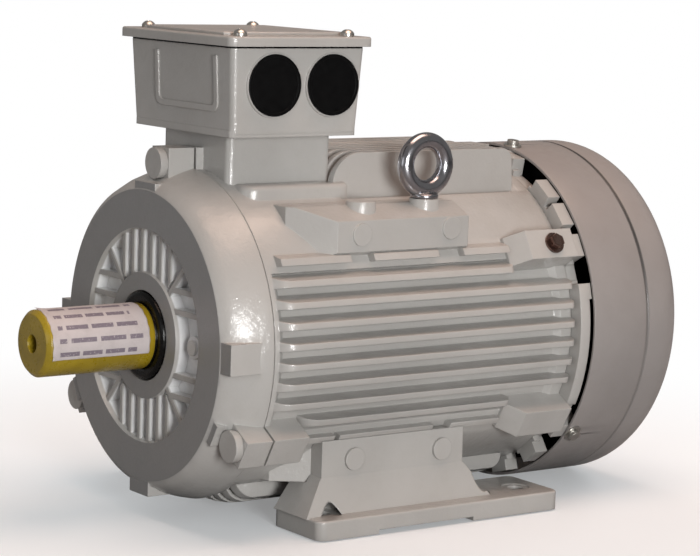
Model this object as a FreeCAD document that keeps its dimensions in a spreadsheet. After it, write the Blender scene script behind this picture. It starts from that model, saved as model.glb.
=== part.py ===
import FreeCAD, Part
import Sketcher
import math
import os

# Foot-mounted squirrel-cage induction motor, frame size 132, shaft height 132 mm.
# Origin on the shaft axis at the shaft shoulder; the shaft lies along Y with the drive end
# towards -Y ("front"), the fan towards +Y ("rear"), +X is "right", +Z is up with the
# terminal box on top. Lengths in millimetres, angles in degrees from +X towards +Z.

V = FreeCAD.Vector
doc = FreeCAD.newDocument("motor")
sheet = doc.addObject("Spreadsheet::Sheet", "dims")
aliases = []


class Dim:
    """A length together with its expression on the sheet."""

    def __init__(self, value, text):
        self.value = float(value)
        self.text = text

    @staticmethod
    def of(length):
        return length if isinstance(length, Dim) else Dim(length, "%.6f" % float(length))

    @property
    def driven(self):
        return "dims." in self.text

    def __add__(self, other):
        other = Dim.of(other)
        return Dim(self.value + other.value, "(%s + %s)" % (self.text, other.text))

    def __radd__(self, other):
        return Dim.of(other) + self

    def __sub__(self, other):
        other = Dim.of(other)
        return Dim(self.value - other.value, "(%s - %s)" % (self.text, other.text))

    def __rsub__(self, other):
        return Dim.of(other) - self

    def __mul__(self, other):
        other = Dim.of(other)
        return Dim(self.value * other.value, "(%s * %s)" % (self.text, other.text))

    def __rmul__(self, other):
        return Dim.of(other) * self

    def __truediv__(self, other):
        other = Dim.of(other)
        return Dim(self.value / other.value, "(%s / %s)" % (self.text, other.text))

    def __neg__(self):
        return Dim(0, "0") - self


def cell(alias, value):
    """Writes one driving dimension on the next row of the sheet."""
    aliases.append(alias)
    row = len(aliases)
    sheet.set("A%d" % row, alias)
    sheet.set("B%d" % row, "%g" % value)
    sheet.setAlias("B%d" % row, alias)
    return Dim(value, "dims.%s" % alias)


# ---------------------------------------------------------------- driving dimensions
# feet
shaft_height = cell("shaft_height", 132)
foot_span = cell("foot_span", 216)          # hole to hole across
foot_front = cell("foot_front", 89)         # shoulder to the first foot hole
foot_short = cell("foot_short", 140)        # first to second hole
foot_long = cell("foot_long", 178)          # first to third hole
foot_hole_rad = cell("foot_hole_rad", 6)
foot_half = cell("foot_half", 134)          # shaft axis to the outer edge of a foot
foot_thick = cell("foot_thick", 14)
# shaft and key
shaft_rad = cell("shaft_rad", 19)
shaft_len = cell("shaft_len", 80)
seat_rad = cell("seat_rad", 20)             # drive-end bearing seat
key_half = cell("key_half", 5)
key_floor = cell("key_floor", 14)
key_top = cell("key_top", 22)
centre_rad = cell("centre_rad", 5.1)
# stator frame
joint_y = cell("joint_y", 36)               # drive-end shield to frame joint
frame_end = cell("frame_end", 306)          # frame to rear shield joint
bore_rad = cell("bore_rad", 105)
valley_rad = cell("valley_rad", 115)        # barrel between the fins
corner_rad = cell("corner_rad", 121)
fin_rad = cell("fin_rad", 129)
top_fin_rad = cell("top_fin_rad", 133)
top_flat = cell("top_flat", 134)
fin_pitch = cell("fin_pitch", 14.3)
top_pitch = cell("top_pitch", 13)
fin_tip = cell("fin_tip", 1.6)              # half thickness at the tip
fin_root = cell("fin_root", 5.2)            # half thickness at the root
pad_face = cell("pad_face", 108)
foot_pad_face = cell("foot_pad_face", 96)
pad_front = cell("pad_front", 84)
pad_rear = cell("pad_rear", 212)
lug_rad = cell("lug_rad", 136.5)
lug_half = cell("lug_half", 11.5)
bolt_rad = cell("bolt_rad", 125)            # drive-end shield bolt circle
rear_bolt_rad = cell("rear_bolt_rad", 114)
# drive-end shield
ring_rad = cell("ring_rad", 106)
ring_in = cell("ring_in", 78)
hub_rad = cell("hub_rad", 46)
hub_bore = cell("hub_bore", 33)
recess = cell("recess", 12)
rim_rad = cell("rim_rad", 122)
# fan cowl
cowl_rad = cell("cowl_rad", 133)
cowl_front = cell("cowl_front", 318)
cowl_end = cell("cowl_end", 414)
cowl_wall = cell("cowl_wall", 2)
cowl_round = cell("cowl_round", 27)
# terminal box and its pedestal
box_half = cell("box_half", 67)
box_front = cell("box_front", 30.5)
box_rear = cell("box_rear", 137.5)
box_low = cell("box_low", 148)
box_top = cell("box_top", 211)
box_wall = cell("box_wall", 5)
lid_half = cell("lid_half", 77)
lid_front = cell("lid_front", 21.5)
lid_rear = cell("lid_rear", 144)
lid_low = cell("lid_low", 212.5)
entry_rad = cell("entry_rad", 20)
entry_height = cell("entry_height", 185)
ped_half = cell("ped_half", 45)
ped_front = cell("ped_front", 42)
ped_rear = cell("ped_rear", 131)
ped_top = cell("ped_top", 147)
# bearings
de_brg = cell("de_brg", 16)                 # drive-end bearing, 40 x 90 x 23
de_brg_w = cell("de_brg_w", 23)
de_brg_out = cell("de_brg_out", 45)
de_pitch = cell("de_pitch", 32.75)
de_ball = cell("de_ball", 7.54)
nde_brg = cell("nde_brg", 294)              # rear bearing, 30 x 72 x 19
nde_brg_w = cell("nde_brg_w", 19)
nde_brg_out = cell("nde_brg_out", 36)
nde_seat = cell("nde_seat", 15)
nde_pitch = cell("nde_pitch", 25.5)
nde_ball = cell("nde_ball", 6.15)
# electrical core, fan, sleeve and eyebolt
core_front = cell("core_front", 92)
core_rear = cell("core_rear", 252)
rotor_rad = cell("rotor_rad", 68)
airgap = cell("airgap", 0.5)
rotor_bore = cell("rotor_bore", 26)
fan_rad = cell("fan_rad", 112)
sleeve_rad = cell("sleeve_rad", 24)
sleeve_front = cell("sleeve_front", -89)
eye_x = cell("eye_x", 90)
eye_y = cell("eye_y", 184)
eye_seat = cell("eye_seat", 103)
doc.recompute()

# Places shared by several parts
THROUGH = 400                               # length of rods that outrun the motor
LUGS = (90, -30, 210)                       # angles of the shield bolts
COWL_ANGLES = (82, -38, 202)                # angles of the cowl screws
cowl_screw_y = cowl_front + 6
FOOT_BOLT_YS = (114, 193)
FOOT_BOLT_Z = -81
FOOT_BOLTS = [(side, y) for side in (1, -1) for y in FOOT_BOLT_YS]
EARTH_ANGLE = 30
EARTH_Y = 286
BASE_SCREWS = [(x, y) for x in (-36, 36) for y in (53, 120)]
LID_SCREWS = [(x, y) for x in (62.5, -62.5) for y in (38, 130)]
ENTRY_YS = (63, 113)                        # cable entries, right side of the box
STUD_XS = (-24, 0, 24)
STUD_YS = (75, 97)
STUDS = [(x, y) for x in STUD_XS for y in STUD_YS]
OPEN_HALF, OPEN_FRONT, OPEN_REAR = 28, 60, 113    # wire opening through the pedestal

made = {}


# ---------------------------------------------------------------- primitives
def bind(obj, prop, length):
    length = Dim.of(length)
    if length.driven:
        obj.setExpression(prop, length.text)
    else:
        setattr(obj, prop, length.value)


def place(obj, x=0, y=0, z=0):
    for axis, length in (("x", x), ("y", y), ("z", z)):
        length = Dim.of(length)
        if length.value or length.driven:
            obj.setExpression(".Placement.Base." + axis, length.text)
    return obj


ALONG = {"Z": FreeCAD.Rotation(), "Y": FreeCAD.Rotation(V(1, 0, 0), -90),
         "X": FreeCAD.Rotation(V(0, 1, 0), 90)}


def around(radius, degrees):
    """(x, z) of a point on a circle about the shaft axis."""
    angle = math.radians(degrees)
    return radius * math.cos(angle), radius * math.sin(angle)


def outward(degrees):
    """Rotation that points a primitive's own axis radially outwards."""
    x, z = around(1.0, degrees)
    return FreeCAD.Rotation(V(0, 0, 1), V(x, 0, z))


def rod(radius, length, x=0, y=0, z=0, axis="Y", turn=None):
    """Cylinder running from its start point in the + direction of an axis."""
    obj = doc.addObject("Part::Cylinder", "rod")
    bind(obj, "Radius", radius)
    bind(obj, "Height", length)
    obj.Placement.Rotation = turn if turn is not None else ALONG[axis]
    return place(obj, x, y, z)


def rods(points, radius, length, z):
    """Upright rods at several (x, y) points."""
    return [rod(radius, length, x=x, y=y, z=z, axis="Z") for x, y in points]


def axial_rod(radius, length, pitch_rad, degrees, y):
    x, z = around(pitch_rad, degrees)
    return rod(radius, length, x=x, y=y, z=z)


def radial_rod(radius, length, start, degrees, y):
    x, z = around(start, degrees)
    return rod(radius, length, x=x, y=y, z=z, turn=outward(degrees))


def side_rod(side, radius, length, near, y, z):
    """Rod along X whose end nearer the shaft is at `near`, on the right (1) or left (-1)."""
    return rod(radius, length, x=near if side > 0 else -(near + length), y=y, z=z, axis="X")


def ball(radius, x, y, z):
    obj = doc.addObject("Part::Sphere", "ball")
    bind(obj, "Radius", radius)
    return place(obj, x, y, z)


def ring(pitch_rad, wire_rad, x=0, y=0, z=0, axis="Y"):
    obj = doc.addObject("Part::Torus", "ring")
    bind(obj, "Radius1", pitch_rad)
    bind(obj, "Radius2", wire_rad)
    obj.Placement.Rotation = ALONG[axis]
    return place(obj, x, y, z)


def cone(low_rad, high_rad, height, x, y, z):
    obj = doc.addObject("Part::Cone", "cone")
    obj.Radius1, obj.Radius2, obj.Height = low_rad, high_rad, height
    return place(obj, x, y, z)


def hexagon(circumradius, height, x, y, z, turn=ALONG["Z"]):
    obj = doc.addObject("Part::Prism", "hexagon")
    obj.Polygon = 6
    obj.Circumradius = circumradius
    obj.Height = height
    obj.Placement.Rotation = turn
    return place(obj, x, y, z)


def box(x0, x1, y0, y1, z0, z1):
    obj = doc.addObject("Part::Box", "box")
    bind(obj, "Length", Dim.of(x1) - x0)
    bind(obj, "Width", Dim.of(y1) - y0)
    bind(obj, "Height", Dim.of(z1) - z0)
    return place(obj, x0, y0, z0)


def side_box(side, near, far, *bounds):
    """Box between two distances from the YZ plane, on the right (1) or left (-1)."""
    if side > 0:
        return box(near, far, *bounds)
    return box(-far, -near, *bounds)


# ---------------------------------------------------------------- combinations
def collect(kind, name, prop, members):
    obj = doc.addObject(kind, name)
    setattr(obj, prop, list(members))
    return obj


def fuse(*members):
    return collect("Part::MultiFuse", "fuse", "Shapes", members)


def common(*members):
    return collect("Part::MultiCommon", "common", "Shapes", members)


def group(*members):
    return collect("Part::Compound", "group", "Links", members)


def cut(base, tool):
    obj = doc.addObject("Part::Cut", "cut")
    obj.Base = base
    obj.Tool = tool
    return obj


def spin(obj, degrees):
    """Turns an object about the shaft axis."""
    holder = group(obj)
    holder.Placement = FreeCAD.Placement(V(0, 0, 0), FreeCAD.Rotation(V(0, 1, 0), -degrees))
    return holder


def part(name, obj):
    """Labels a finished piece and lists it for export."""
    obj.Label = name
    made[name] = obj


# ---------------------------------------------------------------- sketched bodies
def new_body():
    body = doc.addObject("PartDesign::Body", "body")
    body.AllowCompound = True
    return body


def origin(body, role):
    return [item for item in body.Origin.OriginFeatures if item.Role == role][0]


def as_loops(outline):
    """Accepts one polygon or a list of loops."""
    return outline if isinstance(outline[0], list) else [outline]


def constrain(sketch, kind, refs, length):
    index = sketch.addConstraint(Sketcher.Constraint(kind, *refs, length.value))
    if length.driven:
        sketch.setExpression("Constraints[%d]" % index, length.text)


def add_circle(sketch, loop):
    x, y, radius = (Dim.of(length) for length in loop)
    circle = Part.Circle(V(x.value, y.value, 0), V(0, 0, 1), radius.value)
    index = sketch.addGeometry(circle, False)
    constrain(sketch, "DistanceX", (-1, 1, index, 3), x)
    constrain(sketch, "DistanceY", (-1, 1, index, 3), y)
    constrain(sketch, "Radius", (index,), radius)


def add_polygon(sketch, loop):
    points = [(Dim.of(x), Dim.of(y)) for x, y in loop]
    count = len(points)
    lines = []
    for start, end in zip(points, points[1:] + points[:1]):
        line = Part.LineSegment(V(start[0].value, start[1].value, 0),
                                V(end[0].value, end[1].value, 0))
        lines.append(sketch.addGeometry(line, False))
    for i in range(count):
        sketch.addConstraint(Sketcher.Constraint(
            "Coincident", lines[i], 2, lines[(i + 1) % count], 1))
    for line, (x, y) in zip(lines, points):
        constrain(sketch, "DistanceX", (-1, 1, line, 1), x)
        constrain(sketch, "DistanceY", (-1, 1, line, 1), y)


def add_sketch(body, role, loops, offset=0):
    """Sketch on an origin plane; a loop is a list of points or an (x, y, radius) circle."""
    sketch = body.newObject("Sketcher::SketchObject", "sketch")
    sketch.AttachmentSupport = [(origin(body, role), "")]
    sketch.MapMode = "FlatFace"
    offset = Dim.of(offset)
    if offset.driven:
        sketch.setExpression(".AttachmentOffset.Base.z", offset.text)
    elif offset.value:
        sketch.AttachmentOffset = FreeCAD.Placement(V(0, 0, offset.value), FreeCAD.Rotation())
    for loop in loops:
        if isinstance(loop, tuple):
            add_circle(sketch, loop)
        else:
            add_polygon(sketch, loop)
    return sketch


def revolve(outline):
    """Body turned about the shaft axis; points are (radius, y)."""
    body = new_body()
    sketch = add_sketch(body, "XY_Plane", as_loops(outline))
    feature = body.newObject("PartDesign::Revolution", "revolution")
    feature.Profile = sketch
    feature.ReferenceAxis = (sketch, ["V_Axis"])
    feature.Angle = 360
    body.Tip = feature
    return body


def pad(role, outline, low, high, taper=0):
    """Body between two levels along the + direction of the world axis across the plane.

    Points are (x, y), (x, z) or (y, z), after the plane's name.
    """
    body = new_body()
    low, high = Dim.of(low), Dim.of(high)
    # The XZ plane faces -Y, so its sketch sits at the high level and grows back.
    start = -high if role == "XZ_Plane" else low
    sketch = add_sketch(body, role, as_loops(outline), start)
    feature = body.newObject("PartDesign::Pad", "pad")
    feature.Profile = sketch
    bind(feature, "Length", high - low)
    if taper:
        feature.TaperAngle = taper
    body.Tip = feature
    return body


def repeat_round(body, loops, low, high, count, cutting=True):
    """Adds a pocket or pad along Y to a body and repeats it round the shaft axis."""
    low, high = Dim.of(low), Dim.of(high)
    sketch = add_sketch(body, "XZ_Plane", loops, -high)
    kind = "PartDesign::Pocket" if cutting else "PartDesign::Pad"
    feature = body.newObject(kind, "feature")
    feature.Profile = sketch
    bind(feature, "Length", high - low)
    if cutting:
        feature.Reversed = True
    pattern = body.newObject("PartDesign::PolarPattern", "pattern")
    pattern.Originals = [feature]
    pattern.Axis = (origin(body, "Y_Axis"), [""])
    pattern.Angle = 360
    pattern.Occurrences = count
    body.Tip = pattern


def fillet(body, radius, test):
    """Rounds the edges of a body that pass a test."""
    doc.recompute()
    base = body.Tip
    names = ["Edge%d" % (i + 1) for i, edge in enumerate(base.Shape.Edges) if test(edge)]
    feature = body.newObject("PartDesign::Fillet", "fillet")
    feature.Base = (base, names)
    bind(feature, "Radius", radius)
    body.Tip = feature
    return body


def upright(edge):
    start, end = edge.Vertexes[0].Point, edge.Vertexes[-1].Point
    return abs(start.z - end.z) > 0.6 * edge.Length and len(edge.Vertexes) == 2


def at_or_above(level):
    limit = Dim.of(level).value - 0.01
    return lambda edge: edge.BoundBox.ZMin > limit


# ---------------------------------------------------------------- outlines
def rectangle(x0, x1, y0, y1):
    return [(x0, y0), (x1, y0), (x1, y1), (x0, y1)]


def tube(r_in, r_out, y0, y1):
    return revolve(rectangle(r_in, r_out, y0, y1))


def sector(start, end, reach=190):
    """Triangle from the shaft axis between two angles."""
    return [(0, 0), around(reach, start), around(reach, end)]


def kite(reach, tip_reach, start, end):
    """Sector with a raised middle point."""
    return [(0, 0), around(reach, start), around(tip_reach, (start + end) / 2),
            around(reach, end)]


def mirror(points):
    """Outline mirrored across the YZ plane, walked the same way round."""
    first, *rest = [(-x, y) for x, y in points]
    return [first] + rest[::-1]


def chord(radius, level):
    """Half width of a circle at one height."""
    radius, level = Dim.of(radius), Dim.of(level)
    return Dim(math.sqrt(radius.value ** 2 - level.value ** 2),
               "sqrt(%s * %s - %s * %s)" % (radius.text, radius.text, level.text, level.text))


# ---------------------------------------------------------------- stator frame: barrel
barrel = revolve([
    (100, joint_y), (corner_rad, joint_y), (corner_rad, joint_y + 4),
    (valley_rad, joint_y + 10), (valley_rad, frame_end - 14),
    (corner_rad - 2, frame_end - 10), (corner_rad - 2, frame_end), (100, frame_end)])


def thickening(sectors, rear):
    """Raised part of the barrel over some sectors."""
    return common(pad("XZ_Plane", sectors, joint_y + 4, rear), rod(corner_rad, THROUGH))


thickenings = [
    thickening([sector(28, 57), sector(208, 237)], frame_end - 4),
    thickening([sector(123, 152), sector(303, 332)], frame_end - 4),
    thickening([sector(50, 130)], ped_rear - 4)]


# ---------------------------------------------------------------- stator frame: fins
def level_fin(step):
    """Tapered fin running straight through the barrel, at a multiple of the pitch."""
    level = fin_pitch * step
    root_x, tip_x = chord(valley_rad, level) - 2, chord(fin_rad + 3, level)
    return [(-tip_x, level - fin_tip), (-root_x, level - fin_root),
            (root_x, level - fin_root), (tip_x, level - fin_tip),
            (tip_x, level + fin_tip), (root_x, level + fin_root),
            (-root_x, level + fin_root), (-tip_x, level + fin_tip)]


def level_fins(steps):
    return pad("XZ_Plane", [level_fin(step) for step in steps], joint_y + 1, frame_end)


def rounded_envelope(radius, front, rear, front_round, rear_round):
    """Tube with rounded outer rims, so that fins inside it end in quarter rounds."""
    body = tube(60, radius, front, rear)
    for y, rounding in ((front, front_round), (rear, rear_round)):
        fillet(body, rounding, lambda edge: abs(edge.Vertexes[0].Point.y - y.value) < 0.01
               and abs(edge.BoundBox.XMax - radius.value) < 0.01)
    return body


mid_fins = common(level_fins((-2.5, -1.5, -0.5, 0.5, 1.5, 2.5)),
                  rounded_envelope(fin_rad, joint_y + 2, frame_end - 1, 14, 7))
outer_fins = fuse(*[
    common(level_fins([step]),
           rounded_envelope(fin_rad - 0.5, joint_y + front, frame_end - 54, 14, 7))
    for step, front in ((3.5, 2), (-3.5, 30))])

# Short fin pieces above and below the full fins: pitch multiple, front y, rear y
STUBS = [(4.5, 46, 106), (4.5, 126, 184), (4.5, 207, 250),
         (-4.5, 72, 96), (-4.5, 100, 184), (-4.5, 200, 246)]
stubs = common(fuse(*[pad("XZ_Plane", [level_fin(step)], y0, y1) for step, y0, y1 in STUBS]),
               rod(fin_rad - 1, THROUGH))

# Upright fins above and below the barrel
UPRIGHT_TIP, UPRIGHT_ROOT = 2.2, 4.0        # half thicknesses
UPRIGHT_REACH = 136


def top_fin(x):
    waist = valley_rad - 10
    return [(x - UPRIGHT_ROOT, 0), (x - UPRIGHT_ROOT, waist), (x - UPRIGHT_TIP, UPRIGHT_REACH),
            (x + UPRIGHT_TIP, UPRIGHT_REACH), (x + UPRIGHT_ROOT, waist), (x + UPRIGHT_ROOT, 0)]


def bottom_fin(x):
    waist = -(valley_rad - 4)
    return [(x - UPRIGHT_ROOT, 0), (x + UPRIGHT_ROOT, 0), (x + UPRIGHT_ROOT, waist),
            (x + UPRIGHT_TIP, -UPRIGHT_REACH), (x - UPRIGHT_TIP, -UPRIGHT_REACH),
            (x - UPRIGHT_ROOT, waist)]


def on_field_top(edge):
    return edge.BoundBox.XLength > 100 and edge.BoundBox.ZMin > top_flat.value - 0.01


fin_xs = [top_pitch * k for k in range(-4, 5)]
fin_field = pad("YZ_Plane", rectangle(ped_rear - 5, frame_end - 12, 60, top_flat), -60, 60)
fillet(fin_field, 25,
       lambda edge: on_field_top(edge) and edge.BoundBox.YMax < ped_rear.value)
fillet(fin_field, 9,
       lambda edge: on_field_top(edge) and edge.BoundBox.YMin > frame_end.value - 12.01)
top_fins = common(pad("XZ_Plane", [top_fin(x) for x in fin_xs], ped_rear - 8, frame_end - 4),
                  fin_field)
bottom_fins = common(
    pad("XZ_Plane", [bottom_fin(x) for x in fin_xs], joint_y + 8, frame_end - 4),
    rounded_envelope(fin_rad - 1, joint_y + 10, frame_end - 12, 20, 9))

# ---------------------------------------------------------------- stator frame: side pads
# Upper pads: plan (x, y) with a sloped front end, and section (x, z) with a ledge
upper_plan = [(60, pad_front - 18), (84, pad_front - 18), (pad_face, pad_front + 11),
              (pad_face, pad_rear), (60, pad_rear)]
upper_section = [(60, 60), (98, 64), (pad_face, 68.5), (pad_face, 91),
                 (88, eye_seat - 3), (62, eye_seat - 3)]
side_pads = []
for side in (1, -1):
    side_pads.append(common(
        pad("XZ_Plane", [(x * side, z) for x, z in upper_section], pad_front - 20, pad_rear),
        pad("XY_Plane", upper_plan if side > 0 else mirror(upper_plan), 50, 120)))
    for y, z in ((116, 81), (196, 82.5)):
        side_pads.append(side_rod(side, 8.2, 3, pad_face - 1.4, y, z))
    side_pads += rods([(eye_x * side, eye_y), (eye_x * side, eye_y - 57)],
                      11, 20, eye_seat - 20)

# Lower pads, which carry the feet
lower_plan = [(60, 58), (80, 61), (foot_pad_face, pad_front + 2),
              (foot_pad_face, pad_rear + 1), (60, pad_rear + 6)]
side_pads += [pad("XY_Plane", plan, -98, -58) for plan in (lower_plan, mirror(lower_plan))]

# ---------------------------------------------------------------- stator frame: pedestal
pedestal = pad("XY_Plane", rectangle(-ped_half, ped_half, ped_front, ped_rear), 90, ped_top)
fillet(pedestal, 5, upright)
# Spread root of the pedestal
SKIRT_HALF, SKIRT_LOW, SKIRT_TOP = 64, 80, 113
skirt = pad("XY_Plane", rectangle(-SKIRT_HALF, SKIRT_HALF, ped_front + 4, ped_rear + 8),
            SKIRT_LOW, SKIRT_TOP)
fillet(skirt, 12, upright)
fillet(skirt, 4, at_or_above(SKIRT_TOP))


# ---------------------------------------------------------------- stator frame: bolt lugs
def front_lug(degrees):
    outline = rectangle(100, lug_rad, joint_y, joint_y + 29)
    return spin(pad("XY_Plane", outline, -lug_half, lug_half), degrees)


def rear_lug(degrees):
    """Radial block with a sloping outer front corner."""
    front = frame_end - 56
    reach = top_fin_rad if degrees == 90 else lug_rad
    outline = [(100, front), (reach - 13, front), (reach, front + 12), (reach, frame_end),
               (100, frame_end)]
    return spin(pad("XY_Plane", outline, -lug_half, lug_half), degrees)


lugs = [front_lug(degrees) for degrees in LUGS]
lugs += [rear_lug(degrees) for degrees in LUGS + (EARTH_ANGLE,)]

# ---------------------------------------------------------------- stator frame: openings
holes = []
for degrees in LUGS:
    holes.append(axial_rod(5, 24, bolt_rad, degrees, joint_y))
    holes.append(axial_rod(4, 24, rear_bolt_rad, degrees, frame_end - 24))
holes += rods([(eye_x, eye_y)], 5, 20, eye_seat - 20)
holes += [side_rod(side, 5, 22, foot_pad_face - 22, y, FOOT_BOLT_Z) for side, y in FOOT_BOLTS]
holes += rods(BASE_SCREWS, 3, 18, ped_top - 18)
holes.append(box(-OPEN_HALF, OPEN_HALF, OPEN_FRONT, OPEN_REAR, 0, 160))
holes.append(radial_rod(3, 30, lug_rad - 18, EARTH_ANGLE, EARTH_Y))
holes.append(rod(bore_rad, THROUGH))
# flat seats for the webs of the feet
holes += [side_box(side, foot_pad_face, 140, pad_front + 1.5, pad_rear + 1.5, -99, -65.9)
          for side in (1, -1)]
frame_solid = fuse(barrel, *thickenings, mid_fins, outer_fins, stubs, top_fins, bottom_fins,
                   pedestal, skirt, *side_pads, *lugs)
part("stator_frame", cut(frame_solid, fuse(*holes)))

# ---------------------------------------------------------------- drive-end shield
shield = revolve([
    (hub_bore, 1), (hub_rad, 1), (hub_rad + 1, recess), (ring_in - 2, recess), (ring_in, 0),
    (ring_rad, 0), (ring_rad + 4, 2.5), (ring_rad + 10, 14), (rim_rad - 2, 26),
    (rim_rad, joint_y - 1.5), (rim_rad - 2, joint_y), (bore_rad - 0.05, joint_y),
    (bore_rad - 0.05, joint_y + 6), (97, joint_y + 6), (97, 27), (88, 21), (57, 21),
    (57, de_brg + de_brg_w + 4), (de_brg_out + 0.02, de_brg + de_brg_w + 4),
    (de_brg_out + 0.02, de_brg), (39, de_brg), (39, 10.5), (hub_bore, 10.5)])

# Ribs in the recess between hub and outer ring: upright ones above and below the hub,
# level ones at its sides and one on each diagonal
RIB_PITCH = 12.8
RIB_FRONT = 2
rib_rear = recess + 2
upright_ribs = []
for step in (-2.5, -1.5, -0.5, 0.5, 1.5, 2.5):
    x = RIB_PITCH * step
    upright_ribs.append(pad("XY_Plane", [
        (x - 1.7, RIB_FRONT), (x + 1.7, RIB_FRONT), (x + 3.6, rib_rear), (x - 3.6, rib_rear)],
        -ring_in, ring_in))
other_ribs = [side_box(side, 36, ring_in, RIB_FRONT, rib_rear, z - 1.9, z + 1.9)
              for z in (-38, -23, 23, 38) for side in (-1, 1)]
other_ribs += [spin(box(hub_rad - 2, ring_in + 1, RIB_FRONT, rib_rear, -1.9, 1.9), degrees)
               for degrees in (47, 133, -47, -133)]
upright_ribs = fuse(common(
    fuse(*upright_ribs),
    pad("XZ_Plane", [sector(52, 128, 120), sector(232, 308, 120)], 0, 20)))
ribs = common(fuse(upright_ribs, *other_ribs),
              tube(hub_rad - 1, ring_in + 1, 3, recess + 1))

# Stepped round knobs at the sides of the hub: radius, front y
knobs = [rod(radius, recess + 1 - front, x=x, y=front)
         for radius, front in ((8.5, 6), (5.4, 4)) for x in (62, -62)]
shield_lugs = [spin(box(100, lug_rad, 13, joint_y - 1.8, -lug_half, lug_half), degrees)
               for degrees in LUGS]
shield_lugs += [spin(box(96, 113.5, 1.5, 12, -9, 9), degrees) for degrees in LUGS[1:]]
tabs = [side_box(side, 98, 119.5, 0.5, 28, -11, 11) for side in (1, -1)]
tabs += [box(-14, 14, 0.5, 20, 96, 111.5), box(-13, 13, 0.5, 22, -117, -98)]
# Lugs and tabs stay clear of the hollow behind the shield
hollow = cut(rod(96.9, 30, y=27), rod(80, 40, y=20))
lugs_and_tabs = cut(fuse(*shield_lugs, *tabs), hollow)

shield_holes = []
for degrees in LUGS:
    shield_holes.append(axial_rod(5.5, 40, bolt_rad, degrees, 0))
    shield_holes.append(axial_rod(11.7, 8.98, bolt_rad, degrees, 4))
part("de_end_shield", cut(fuse(shield, ribs, lugs_and_tabs, *knobs), fuse(*shield_holes)))

# ---------------------------------------------------------------- rear shield
nde_seat_end = nde_brg + nde_brg_w + 1
rear_shield = revolve([
    (20, 319.5), (44, 319.5), (48, 312), (100, 312), (104, frame_end + 10),
    (118, frame_end + 10), (118, frame_end), (bore_rad - 0.05, frame_end),
    (bore_rad - 0.05, frame_end - 7), (97, frame_end - 7), (97, 304), (48, 304), (48, 290),
    (nde_brg_out + 0.02, 290), (nde_brg_out + 0.02, nde_seat_end), (20, nde_seat_end)])

# Rim at the right and left sides
rim_band = revolve([(110, frame_end + 0.5), (130.2, frame_end + 0.5), (130.2, frame_end + 9.5),
                    (128.6, frame_end + 11), (110, frame_end + 11)])
rim_pieces = [common(rim_band, pad(
    "XZ_Plane", [kite(190, 210, -26, 16), kite(190, 210, 164, 206)],
    frame_end, frame_end + 12))]

# Stepped blocks round the rim: angle, half width of the outer step
RIM_BLOCKS = [
    (78, 15), (53.5, 10), (42, 10), (30, 9), (14, 6), (102, 15), (126, 10), (138, 10),
    (150, 9), (166, 6), (232, 9), (252, 9), (270, 9), (288, 9), (306, 9)]
for degrees, half in RIM_BLOCKS:
    rim_pieces.append(spin(box(110, 130, frame_end + 0.5, frame_end + 12, -half, half),
                           degrees))
    rim_pieces.append(spin(box(110, 121.5, frame_end + 0.5, frame_end + 7,
                               -half - 3, half + 3), degrees))
# Tongues under the cowl, for its screws
for degrees in COWL_ANGLES:
    rim_pieces.append(spin(box(108, cowl_rad - cowl_wall - 0.35, frame_end + 1,
                               cowl_front + 12, -6, 6), degrees))
for degrees in LUGS:
    rim_pieces.append(spin(box(100, 127, frame_end, frame_end + 10, -11, 11), degrees))
rear_holes = [axial_rod(4.5, 20, rear_bolt_rad, degrees, frame_end - 2) for degrees in LUGS]
rear_holes += [radial_rod(2.5, 30, cowl_rad - 20, degrees, cowl_screw_y)
               for degrees in COWL_ANGLES]
part("nde_end_shield", cut(fuse(rear_shield, *rim_pieces), fuse(*rear_holes)))

# ---------------------------------------------------------------- shield bolts
part("de_shield_bolts", group(*[
    fuse(axial_rod(11.3, 6, bolt_rad, degrees, 6.9),
         axial_rod(4.95, 44, bolt_rad, degrees, 12.5)) for degrees in LUGS]))
bolts = []
for degrees in LUGS:
    x, z = around(rear_bolt_rad, degrees)
    bolts.append(fuse(hexagon(7.5, 5.3, x, frame_end + 10.02, z, ALONG["Y"]),
                      rod(3.95, 30, x=x, y=frame_end - 18, z=z)))
part("nde_shield_bolts", group(*bolts))

# ---------------------------------------------------------------- feet
foot_top = -shaft_height + foot_thick
web_face = foot_pad_face + 14
hole_ys = [foot_front, foot_front + foot_short, foot_front + foot_long]
# Section (x, z) of the flare that spreads from the web down to the plate
flare_section = [(foot_pad_face - 18, -98), (foot_pad_face, -98), (foot_pad_face, -92.6),
                 (web_face, -92.6), (foot_pad_face + 24, -119), (foot_pad_face - 18, -119)]


def foot(side):
    web = pad("XZ_Plane", rectangle(foot_pad_face * side, web_face * side, -66, foot_top - 1),
              pad_front + 2, pad_rear + 1)
    flare = common(
        pad("XZ_Plane", [(x * side, z) for x, z in flare_section], 60, 240),
        pad("YZ_Plane", [(pad_front + 2, -92), (67, -119), (234, -119), (pad_rear + 1, -92)],
            -140, 140))
    plate = pad("XY_Plane", rectangle((foot_half - 60) * side, foot_half * side,
                                      foot_front - 20, foot_front + foot_long + 22),
                -shaft_height, foot_top)
    fillet(plate, 7, upright)
    fillet(plate, 1.6, at_or_above(foot_top))

    hole_x = foot_span / 2 * side
    seat_z = foot_top - 0.6
    openings = [side_box(side, foot_half - 61, foot_half + 1, foot_front + 32,
                         foot_front + foot_short - 22, -shaft_height - 1, -shaft_height + 3)]
    openings += rods([(hole_x, y) for y in hole_ys], foot_hole_rad, 21, -shaft_height - 5)
    # spot faces, the front one cut on into the flare as a cone
    openings += [rod(10.5, height, x=hole_x, y=y, z=seat_z, axis="Z")
                 for y, height in zip(hole_ys, (4, 22, 22))]
    openings.append(cone(15, 0.6, 20, hole_x, foot_front, seat_z))
    openings += [side_rod(side, 5.5, 40, foot_pad_face - 10, y, FOOT_BOLT_Z)
                 for y in FOOT_BOLT_YS]
    return cut(fuse(web, plate, flare), fuse(*openings))


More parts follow.
